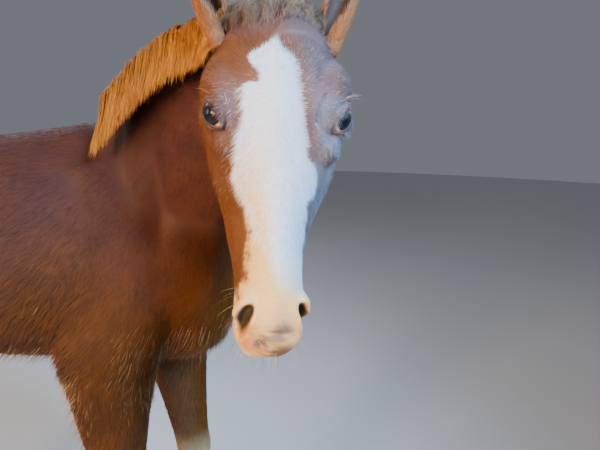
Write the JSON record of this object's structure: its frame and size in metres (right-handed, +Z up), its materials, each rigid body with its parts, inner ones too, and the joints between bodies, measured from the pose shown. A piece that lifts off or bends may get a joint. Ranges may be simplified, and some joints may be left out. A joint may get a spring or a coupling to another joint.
{
  "type": "cob foal",
  "caption": "Life-size standing foal with its head turned to its right, a falling mane, upright ears, a short brush of a tail and lightly feathered legs.",
  "frame": {"origin": "on the floor, under the middle of the foal's bounding box", "axes": "+X forward along the trunk, +Y to the foal's left, +Z up"},
  "size_m": [1.2357, 0.4964, 1.2535],
  "materials": {
    "body_coat": "short woolly hair",
    "neck_coat": "short hair under a long mane",
    "head_coat": "short hair",
    "ear_coat": "short hair",
    "eye": "wet, glossy",
    "tail_hair": "long wavy hair",
    "upper_leg_coat": "short woolly hair",
    "lower_leg_coat": "short hair with longer hair behind the fetlock",
    "hoof_horn": "smooth horn with fine growth rings"
  },
  "bodies": {
    "root": {"torso": "body_coat", "neck": "neck_coat", "head": "head_coat", "ear_right": "ear_coat", "ear_left": "ear_coat", "eye_right": "eye", "eye_left": "eye", "tail": "tail_hair", "foreleg_right_upper": "upper_leg_coat", "foreleg_right_lower": "lower_leg_coat", "foreleg_right_hoof": "hoof_horn", "foreleg_left_upper": "upper_leg_coat", "foreleg_left_lower": "lower_leg_coat", "foreleg_left_hoof": "hoof_horn", "hindleg_right_upper": "upper_leg_coat", "hindleg_right_lower": "lower_leg_coat", "hindleg_right_hoof": "hoof_horn", "hindleg_left_upper": "upper_leg_coat", "hindleg_left_lower": "lower_leg_coat", "hindleg_left_hoof": "hoof_horn"}
  },
  "joints": []
}
